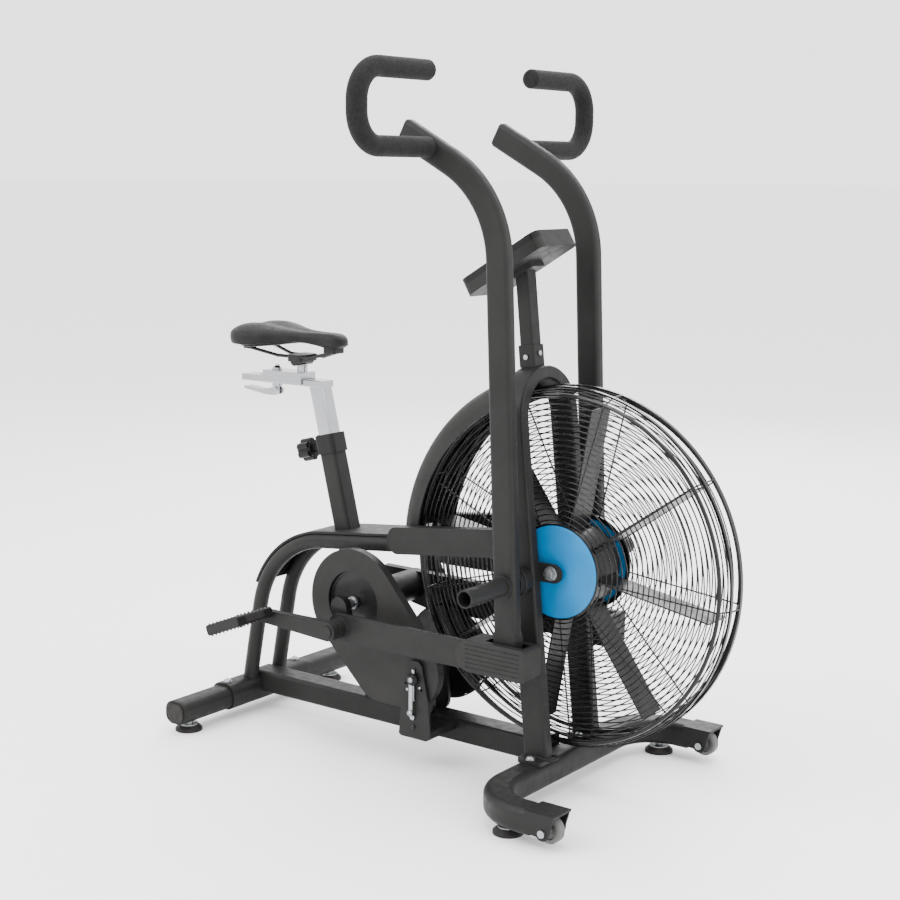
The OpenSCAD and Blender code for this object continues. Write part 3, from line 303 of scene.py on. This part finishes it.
def vinyl(name, color):
    s = Surface(name)
    s.inputs(specular_ior_level=0.09)
    s.bump(s.noise(60.0, detail=4.0), strength=0.25, distance=0.0008)
    s.bump(s.cells(520.0), strength=0.35, distance=0.0005)
    tone = s.ramp(s.noise(35.0, detail=5.0), shade(color, 0.82), shade(color, 1.25))
    return s.finish(tone, s.remap(s.noise(180.0), 0.4, 0.56))


def display(name, color):
    s = Surface(name)
    s.inputs(coat_weight=1.0, coat_roughness=0.03)
    tone = s.ramp(s.noise(900.0, detail=1.0), shade(color, 0.94), shade(color, 1.06))
    return s.finish(tone, s.remap(s.noise(40.0), 0.2, 0.28))


CHARCOAL = (0.0110, 0.0107, 0.0104)
MATERIALS = {
    "frame_black": powder_coat("frame_black", CHARCOAL),
    "cover_grey": moulded("cover_grey", (0.0135, 0.013, 0.0126), 0.5),
    "gloss_black": moulded("gloss_black", (0.007, 0.007, 0.0075), 0.34, grain=0.1),
    "wire_black": glossy("wire_black", (0.003, 0.003, 0.0032), 0.3, coat=0.12),
    "black_steel": glossy("black_steel", (0.004, 0.004, 0.004), 0.36, coat=0.1),
    "disc_blue": glossy("disc_blue", (0.001, 0.135, 0.33), 0.4, coat=0.04),
    "chrome": plated("chrome", (0.36, 0.365, 0.38), 0.1, 0.24),
    "zinc": plated("zinc", (0.30, 0.31, 0.32), 0.26, 0.44),
    "foam": foam("foam", (0.0085, 0.0083, 0.0082)),
    "rubber_black": rubber("rubber_black", (0.011, 0.010, 0.0095)),
    "vinyl": vinyl("vinyl", (0.011, 0.0108, 0.0106)),
    "tread_grey": rubber("tread_grey", (0.085, 0.085, 0.083), 0.5),
    "screen": display("screen", (0.10, 0.12, 0.095)),
    "button_green": glossy("button_green", (0.02, 0.22, 0.05)),
    "button_red": glossy("button_red", (0.35, 0.015, 0.012)),
    "mark_white": glossy("mark_white", (0.7, 0.7, 0.7), 0.4),
}


def dress_cad():
    """Every carried-over CAD node gets the material of its slot in the record."""
    slots = {s["node"]: s["material_slot"] for s in frame["record"]["subparts"]}
    for name, node in frame["nodes"].items():
        mesh = node.data
        mesh.materials.clear()
        mesh.materials.append(MATERIALS[slots[name]])
        for polygon in mesh.polygons:
            polygon.material_index = 0


# ---------------------------------------------------------------- mesh helpers


def piece(name, mesh, slot, body, smooth=True):
    """A new object with one material, riding on a CAD body."""
    obj = bpy.data.objects.new(name, mesh)
    bpy.context.scene.collection.objects.link(obj)
    mesh.materials.append(MATERIALS[slot])
    for polygon in mesh.polygons:
        polygon.use_smooth = smooth
    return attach(obj, body)


def rings_mesh(name, rings, closed=False):
    """A skin over equal rings of points; its ends are capped unless the skin is closed."""
    count = len(rings[0])
    points = [tuple(p) for ring in rings for p in ring]
    faces = []
    last = len(rings) if closed else len(rings) - 1
    for i in range(last):
        a, b = i * count, (i + 1) % len(rings) * count
        for j in range(count):
            k = (j + 1) % count
            faces.append((a + j, a + k, b + k, b + j))
    if not closed:
        for start in (0, len(points) - count):
            for j in range(count // 2):
                cap = [start + k % count for k in (j, j + 1, count - j - 1, count - j)]
                faces.append(tuple(dict.fromkeys(cap)))
    mesh = bpy.data.meshes.new(name)
    mesh.from_pydata(points, [], faces)
    work = bmesh.new()
    work.from_mesh(mesh)
    bmesh.ops.recalc_face_normals(work, faces=work.faces)
    work.to_mesh(mesh)
    work.free()
    return mesh


def circle(centre, side, up, radius, count):
    """Points around a circle in the plane of two unit vectors."""
    angles = (2.0 * math.pi * i / count for i in range(count))
    return [centre + radius * (math.cos(a) * side + math.sin(a) * up) for a in angles]


def tube(name, path, radius, sides, ripple, pitch):
    """A round tube along a closed path; its radius ripples once every pitch points."""
    path = [Vector(p) for p in path]
    rings = []
    side = None
    for i, point in enumerate(path):
        along = (path[(i + 1) % len(path)] - path[i - 1]).normalized()
        if side is None:
            side = along.orthogonal().normalized()
        else:
            side = (side - along * side.dot(along)).normalized()
        swell = 1.0 + ripple * math.sin(2.0 * math.pi * i / pitch)
        rings.append(circle(point, side, along.cross(side), radius * swell, sides))
    return rings_mesh(name, rings, closed=True)


def block(name, centre, axes, half, bevel, slot, body):
    """A box with rounded edges in its own axes."""
    work = bmesh.new()
    bmesh.ops.create_cube(work, size=2.0)
    for vert in work.verts:
        vert.co = centre + sum((c * h * a for c, h, a in zip(vert.co, half, axes)), Vector())
    bmesh.ops.bevel(work, geom=work.edges[:], offset=bevel, segments=3, affect="EDGES", profile=0.6)
    bmesh.ops.recalc_face_normals(work, faces=work.faces)
    return piece(name, mesh_of(work, name), slot, body)


def subdivide(obj):
    modifier = obj.modifiers.new("smooth", "SUBSURF")
    modifier.levels = 1
    modifier.render_levels = 1


def joint(name):
    return next(j for j in frame["joints"] if j["name"] == name)


def between(keys, u):
    """Value at u on the smooth curve through (place, value) keys."""
    last = len(keys) - 1
    i = max(0, min(last - 1, sum(1 for place, _ in keys[1:] if u > place)))
    (x0, y0), (x1, y1) = keys[i], keys[i + 1]

    def slope(k):
        (a, low), (b, high) = keys[max(0, k - 1)], keys[min(last, k + 1)]
        return (high - low) / (b - a)

    w = x1 - x0
    t = (u - x0) / w
    return (
        y0 * (1 + 2 * t) * (1 - t) ** 2 + slope(i) * w * t * (1 - t) ** 2
        + y1 * t * t * (3 - 2 * t) - slope(i + 1) * w * t * t * (1 - t)
    )


# ---------------------------------------------------------------- saddle

# Keys from tail (0) to nose (1), as shares of the pad's half width and of its height
SADDLE_WIDTH = [(0.0, 0.62), (0.05, 0.84), (0.13, 0.98), (0.21, 1.0), (0.32, 0.9), (0.44, 0.68),
                (0.56, 0.46), (0.7, 0.33), (0.85, 0.27), (1.0, 0.25)]
SADDLE_TOP = [(0.0, 0.84), (0.08, 0.96), (0.18, 1.0), (0.42, 0.86), (0.62, 0.78), (0.8, 0.78),
              (0.92, 0.76), (1.0, 0.66)]
SADDLE_LOW = [(0.0, 0.24), (0.1, 0.03), (0.22, 0.0), (0.42, 0.1), (0.62, 0.24), (0.8, 0.14),
              (0.92, 0.03), (1.0, 0.06)]
RING_COUNT, SIDE_COUNT = 52, 40
# Shares of the length over which the ends round off, and how wide the tail stays
TAIL_ROUND, NOSE_ROUND = 0.06, 0.075
TAIL_WIDTH = 0.55
# Height of a cross section's widest place, as a share of its height
WAIST = 0.45
# Powers that square an ellipse: its sides, its top, its underside at the tail, and what the last gains
# by the nose
SIDE_POWER, TOP_POWER = 0.85, 0.8
LOW_POWER, LOW_POWER_GAIN = 0.26, 0.2
GROOVE_DEPTH, GROOVE_WIDTH = 0.0045, 0.014
CROWN_RISE, CROWN_PLACE, CROWN_LENGTH = 0.0035, 0.2, 0.16
NOTCH_DEPTH, NOTCH_WIDTH, NOTCH_REACH = 0.007, 0.026, 0.22
# Room between the visible cover's outline and the CAD pad's box
COVER_GAP = Vector((0.002, 0.001, 0.001))
PAN_INSET = Vector((0.012, 0.012, 0.0))
PAN_SHRINK, PAN_HEIGHT, PAN_DROP = 0.004, 0.008, 0.0015
# The seam runs along this point of each cross section, just under its side
SEAM_POINT = 38
SEAM_LIFT, THREAD_RADIUS = 0.0003, 0.0007
WIRE_RADIUS = 0.004
# Sockets of the wires: half sizes, bevel, and height of the middle over the wires' top
SOCKET_HALF, SOCKET_BEVEL, SOCKET_RISE = (0.012, 0.008, 0.0085), 0.002, 0.002
NOSE_SOCKET_HALF, NOSE_SOCKET_BEVEL, NOSE_SOCKET_RISE = (0.015, 0.0165, 0.0095), 0.003, 0.003


def rounding(u):
    """From near 0 at both ends to 1, as a quarter circle does."""
    near = min(u / TAIL_ROUND, (1.0 - u) / NOSE_ROUND, 1.0)
    return math.sqrt(max(0.0004, 1.0 - (1.0 - near) ** 2))


def bell(x):
    return math.exp(-(x ** 2))


def relief(u, across, y):
    """Height of the two crowns that carry the rider less the depth of the groove between them."""
    groove = GROOVE_DEPTH * bell(y / GROOVE_WIDTH) * math.sin(math.pi * u) ** 0.5
    lobe = (1.0 - math.cos(2.0 * math.pi * across)) / 2.0
    return CROWN_RISE * lobe * bell((u - CROWN_PLACE) / CROWN_LENGTH) - groove


def saddle_rings(shrink, low, high, pan=0.0):
    """Cross sections from tail to nose; shrink pulls the outline in, and pan, if given, is the height
    over the underside that is kept."""
    length = high.x - low.x
    half = (high.y - low.y) / 2.0
    tall = high.z - low.z
    rings = []
    for i in range(RING_COUNT):
        u = 0.5 - 0.5 * math.cos(math.pi * i / (RING_COUNT - 1))
        ends = rounding(u)
        narrowing = ends if u > 0.5 else TAIL_WIDTH + (1.0 - TAIL_WIDTH) * ends
        width = half * between(SADDLE_WIDTH, u) * narrowing - shrink
        top = low.z + tall * between(SADDLE_TOP, u)
        bottom = low.z + tall * between(SADDLE_LOW, u)
        if pan:
            top, bottom = bottom + pan, bottom - PAN_DROP
        middle = bottom + WAIST * (top - bottom)
        rise, fall = (top - middle) * ends, (middle - bottom) * ends
        ring = []
        for j in range(SIDE_COUNT):
            a = 2.0 * math.pi * j / SIDE_COUNT
            c, s = math.cos(a), math.sin(a)
            y = width * math.copysign(abs(c) ** SIDE_POWER, c)
            if s > 0:
                z = middle + rise * s ** TOP_POWER + s * ends * relief(u, y / half, y)
            else:
                z = middle - fall * (-s) ** (LOW_POWER + LOW_POWER_GAIN * u)
            notch = NOTCH_DEPTH * bell(y / NOTCH_WIDTH) * max(0.0, 1.0 - u / NOTCH_REACH) ** 1.5
            ring.append((low.x + length * u + notch, y, min(z, high.z)))
        rings.append(ring)
    return rings


def add_saddle():
    low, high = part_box("saddle")
    low, high = low + COVER_GAP, high - COVER_GAP
    mesh = rings_mesh("saddle_cover", saddle_rings(0.0, low, high))
    cover = piece("saddle_cover", mesh, "vinyl", "saddle")
    subdivide(cover)
    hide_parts("saddle")

    pan_rings = saddle_rings(PAN_SHRINK, low + PAN_INSET, high - PAN_INSET, pan=PAN_HEIGHT)
    pan = piece("saddle_pan", rings_mesh("saddle_pan", pan_rings), "gloss_black", "saddle")
    subdivide(pan)

    seam = [ring[SEAM_POINT] for ring in saddle_rings(-SEAM_LIFT, low, high)[2:-1]]
    other_side = [(x, -y, z) for x, y, z in reversed(seam)]
    thread = tube("saddle_seam", seam + other_side, THREAD_RADIUS, sides=6, ripple=0.5, pitch=2)
    piece("saddle_seam", thread, "rubber_black", "saddle")
    add_rail_sockets()


def add_rail_sockets():
    """Blocks under the pan that hold the ends of the wire rails."""
    low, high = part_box("saddle_clamp")
    axes = (AXIS_X, AXIS_Y, AXIS_Z)
    for side, word in SIDES:
        centre = Vector((low.x + WIRE_RADIUS, side * (high.y - WIRE_RADIUS), high.z + SOCKET_RISE))
        block(f"rail_socket_{word}", centre, axes, SOCKET_HALF, SOCKET_BEVEL, "gloss_black", "saddle")
    centre = Vector((high.x - 2 * WIRE_RADIUS, 0.0, high.z + NOSE_SOCKET_RISE))
    block("rail_socket_nose", centre, axes, NOSE_SOCKET_HALF, NOSE_SOCKET_BEVEL, "gloss_black", "saddle")


# ---------------------------------------------------------------- weld beads

BEAD_RADIUS = 0.0026
BEAD_STEP = 0.0012
RING_STEPS, CORNER_STEPS = 96, 18
PEG_BEAD_R = 0.0245
# The hoop's foot plates stand this far out past its tube
PLATE_OVERHANG = 0.024
HOOP_TUBE_HALF = 0.0125
PLATE_THICK = 0.008
# From the hoop's foremost face back to the middle of its foot beads
FOOT_BEAD_BACK = 0.027
SEAT_TUBE_HALF = 0.021
SEAT_LEAN = math.radians(14.1)
BASE_LOW_Z, BASE_TOP_Z = 0.038, 0.085
# How far a bead's middle line stands over the plate or tube that it lies on
BEAD_LIFT = 0.0005
# How far behind the seat tube's middle, and behind the bottom tube's end, their beads lie
SEAT_BEAD_BACK, BASE_BEAD_BACK = 0.0005, 0.0015
# Half width, half height and corner radius of each bead's rectangle
HOOP_BEAD = (0.0265, 0.013, 0.006)
SEAT_BEAD = (0.0218, 0.0212, 0.007)
BASE_BEAD = (0.0290, 0.0237, 0.008)


def box_path(centre, across, up, half_w, half_h, corner):
    """A rounded rectangle around centre in the plane of two unit vectors."""
    path = []
    for sx, sy, start in ((1, 1, 0), (-1, 1, 90), (-1, -1, 180), (1, -1, 270)):
        for i in range(CORNER_STEPS):
            a = math.radians(start + 90.0 * i / (CORNER_STEPS - 1))
            x = sx * (half_w - corner) + corner * math.cos(a)
            y = sy * (half_h - corner) + corner * math.sin(a)
            path.append(Vector(centre) + x * across + y * up)
    return even_path(path, BEAD_STEP)


def even_path(path, step):
    """The same closed path with points at an even spacing."""
    out = []
    for a, b in zip(path, path[1:] + path[:1]):
        count = max(1, round((b - a).length / step))
        out.extend(a.lerp(b, i / count) for i in range(count))
    return out


def weld(name, path):
    mesh = tube(name, path, BEAD_RADIUS, sides=8, ripple=0.16, pitch=4)
    piece(name, mesh, "frame_black", "frame")


def add_welds():
    hoop_low, hoop_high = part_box("hoop")
    pivot = Vector(joint("arm_right_swing")["pos_m"])
    ring_side = AXIS_Y.orthogonal().normalized()
    ring_up = AXIS_Y.cross(ring_side)
    foot_x = hoop_high.x - FOOT_BEAD_BACK
    foot_y = hoop_high.y - PLATE_OVERHANG - HOOP_TUBE_HALF
    foot_z = hoop_low.z + PLATE_THICK + BEAD_LIFT
    for side, word in SIDES:
        # Around the peg's boss, in line with the foot plate's outer edge
        peg = Vector((pivot.x, side * hoop_high.y, pivot.z))
        weld(f"weld_peg_{word}", circle(peg, ring_side, ring_up, PEG_BEAD_R, RING_STEPS))
        foot = (foot_x, side * foot_y, foot_z)
        weld(f"weld_hoop_{word}", box_path(foot, AXIS_X, AXIS_Y, *HOOP_BEAD))

    seat_low, seat_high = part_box("seat_tube")
    seat_x = seat_high.x - SEAT_TUBE_HALF / math.cos(SEAT_LEAN) - SEAT_BEAD_BACK
    seat_foot = (seat_x, 0, seat_low.z + BEAD_LIFT)
    weld("weld_seat_tube", box_path(seat_foot, AXIS_X, AXIS_Y, *SEAT_BEAD))

    base_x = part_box("bottom_tube")[1].x - BASE_BEAD_BACK
    base_end = (base_x, 0, (BASE_LOW_Z + BASE_TOP_Z) / 2)
    weld("weld_bottom_tube", box_path(base_end, AXIS_Y, AXIS_Z, *BASE_BEAD))


# ---------------------------------------------------------------- console marks

# Width and height of the figures
LARGE, SMALL = (0.011, 0.021), (0.008, 0.015)
# Text, how far it starts right of and above the screen's middle, and its size
FIGURES = [
    ("0:00", -0.020, 0.014, LARGE),
    ("000", -0.040, -0.014, SMALL),
    ("000", 0.008, -0.014, SMALL),
    ("00", -0.040, -0.040, SMALL),
    ("000", 0.008, -0.040, SMALL),
]
# Thin lines between the figures: left, low, right, top
RULES = [
    (-0.043, 0.0065, 0.043, 0.0071),
    (-0.043, -0.0195, 0.043, -0.0189),
    (-0.0003, -0.042, 0.0003, 0.0065),
]
# From the middle of the screen or of a button to just off its face
SCREEN_LIFT, BUTTON_LIFT = 0.00185, 0.00535


def flat_mesh(name, shapes, centre, right, up, out):
    """Flat shapes, each a list of (right, up) corners, standing just off a face."""
    points, faces = [], []
    for shape in shapes:
        faces.append(tuple(range(len(points), len(points) + len(shape))))
        points.extend(centre + u * right + v * up + out for u, v in shape)
    mesh = bpy.data.meshes.new(name)
    mesh.from_pydata([tuple(p) for p in points], [], faces)
    return mesh


def bar(u0, v0, u1, v1):
    return [(u0, v0), (u1, v0), (u1, v1), (u0, v1)]


def nought_bars(u, v, w, h):
    """The six segments of a nought."""
    t = w * 0.2
    m = h / 2.0
    return [
        bar(u + t, v + h - t, u + w - t, v + h),
        bar(u + w - t, v + m + t / 4, u + w, v + h - t / 2),
        bar(u + w - t, v + t / 2, u + w, v + m - t / 4),
        bar(u + t, v, u + w - t, v + t),
        bar(u, v + t / 2, u + t, v + m - t / 4),
        bar(u, v + m + t / 4, u + t, v + h - t / 2),
    ]


def number_bars(text, u, v, size):
    """The segments of a text of noughts and colons."""
    w, h = size
    shapes = []
    for mark in text:
        if mark == ":":
            shapes.append(bar(u, v + h * 0.24, u + w * 0.2, v + h * 0.36))
            shapes.append(bar(u, v + h * 0.64, u + w * 0.2, v + h * 0.76))
            u += w * 0.5
        else:
            shapes.extend(nought_bars(u, v, w, h))
            u += w * 1.3
    return shapes


def add_console_marks():
    out = -Vector(joint("start_press")["axis"])
    up = Vector((out.z, 0.0, -out.x))
    right = -AXIS_Y
    low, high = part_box("console_screen")
    shapes = [shape for figure in FIGURES for shape in number_bars(*figure)]
    shapes += [bar(*rule) for rule in RULES]
    mesh = flat_mesh("screen_figures", shapes, (low + high) / 2.0, right, up, out * SCREEN_LIFT)
    piece("screen_figures", mesh, "gloss_black", "frame", smooth=False)
    for name, shape in (
        ("start_button", [(-0.003, -0.0035), (0.0045, 0.0), (-0.003, 0.0035)]),
        ("stop_button", bar(-0.003, -0.003, 0.003, 0.003)),
    ):
        low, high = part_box(name)
        mesh = flat_mesh(name + "_mark", [shape], (low + high) / 2.0, right, up, out * BUTTON_LIFT)
        piece(name + "_mark", mesh, "mark_white", name, smooth=False)


# ---------------------------------------------------------------- pedals

PEDAL_TILT = math.radians(22.0)
STUD_COUNT, STUD_MARGIN = 9, 0.008
# Places from a pedal's middle, along its tread and out of its face
STUD_ALONG, STUD_OUT = 0.0415, 0.0122
STUD_FOOT_R, STUD_TIP_R, STUD_HEIGHT = 0.0022, 0.0012, 0.0024
REFLECTOR_ALONG = 0.0458
REFLECTOR_HALF, REFLECTOR_BEVEL = (0.0009, 0.026, 0.0062), 0.0006


def add_stud(work, centre, out):
    turn = out.to_track_quat("Z", "Y").to_matrix().to_4x4()
    bmesh.ops.create_cone(work, cap_ends=True, segments=10, radius1=STUD_FOOT_R, radius2=STUD_TIP_R,
                          depth=STUD_HEIGHT, matrix=Matrix.Translation(centre) @ turn)


def add_pedal_details():
    along = Vector((math.cos(PEDAL_TILT), 0.0, math.sin(PEDAL_TILT)))
    out = Vector((-math.sin(PEDAL_TILT), 0.0, math.cos(PEDAL_TILT)))
    for body in ("pedal_right", "pedal_left"):
        low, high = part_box(body)
        middle = (low + high) / 2.0
        run = high.y - low.y - 2 * STUD_MARGIN
        work = bmesh.new()
        for row in (-1, 1):
            for i in range(STUD_COUNT):
                y = low.y + STUD_MARGIN + run * i / (STUD_COUNT - 1)
                for face in (-1, 1):
                    place = Vector((middle.x, y, middle.z)) + along * row * STUD_ALONG
                    add_stud(work, place + out * face * STUD_OUT, out * face)
        piece(body + "_studs", mesh_of(work, body + "_studs"), "gloss_black", body)
        for row, word in ((-1, "rear"), (1, "front")):
            centre = middle + along * row * REFLECTOR_ALONG
            block(f"{body}_reflector_{word}", centre, (along, AXIS_Y, out),
                  REFLECTOR_HALF, REFLECTOR_BEVEL, "rubber_black", body)


# ---------------------------------------------------------------- tensioner

STRAP_HALF, STRAP_BEVEL = (0.0045, 0.0012, 0.034), 0.001
# The bracket's top edge lies about this far behind the middle of its box
TOP_BACK = 0.002


def disc(name, foot, radius, thick, slot):
    """A round boss or bolt head; foot is the middle of its inner face, and it stands towards -Y."""
    work = bmesh.new()
    place = Matrix.Translation(foot - AXIS_Y * thick / 2.0) @ Matrix.Rotation(math.pi / 2, 4, "X")
    bmesh.ops.create_cone(work, cap_ends=True, segments=40, radius1=radius, radius2=radius,
                          depth=thick, matrix=place)
    rims = [e for e in work.edges if e.is_manifold and e.calc_face_angle() > 1.0]
    bmesh.ops.bevel(work, geom=rims, offset=min(radius, thick) * 0.2, segments=2, affect="EDGES")
    piece(name, mesh_of(work, name), slot, "frame")


def add_tensioner():
    """What shows on the bracket's outer face; places are from the middle of its top edge."""
    low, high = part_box("tensioner_bracket")
    top = Vector(((low.x + high.x) / 2.0 - TOP_BACK, low.y, high.z))

    def at(right, down, lift=0.0):
        return top + Vector((right, -lift, -down))

    disc("tension_cam", at(0.0, 0.036, 0.003), 0.0125, 0.007, "gloss_black")
    disc("tension_cam_bolt", at(0.0, 0.036, 0.010), 0.0055, 0.004, "zinc")
    block("tension_strap", at(-0.002, 0.078, 0.0075), (AXIS_X, AXIS_Y, AXIS_Z),
          STRAP_HALF, STRAP_BEVEL, "zinc", "frame")
    disc("tension_strap_bolt", at(-0.002, 0.104, 0.0085), 0.006, 0.004, "zinc")
    disc("bracket_bolt_low", at(-0.001, high.z - low.z - 0.024), 0.0052, 0.003, "black_steel")
    disc("bracket_rivet_a", at(-0.016, 0.060), 0.0032, 0.0016, "zinc")
    disc("bracket_rivet_b", at(0.014, 0.052), 0.0032, 0.0016, "zinc")


# ---------------------------------------------------------------- build the scene


add_camera()
add_lights()
add_floor()
dress_cad()
add_saddle()
add_welds()
add_console_marks()
add_pedal_details()
add_tensioner()
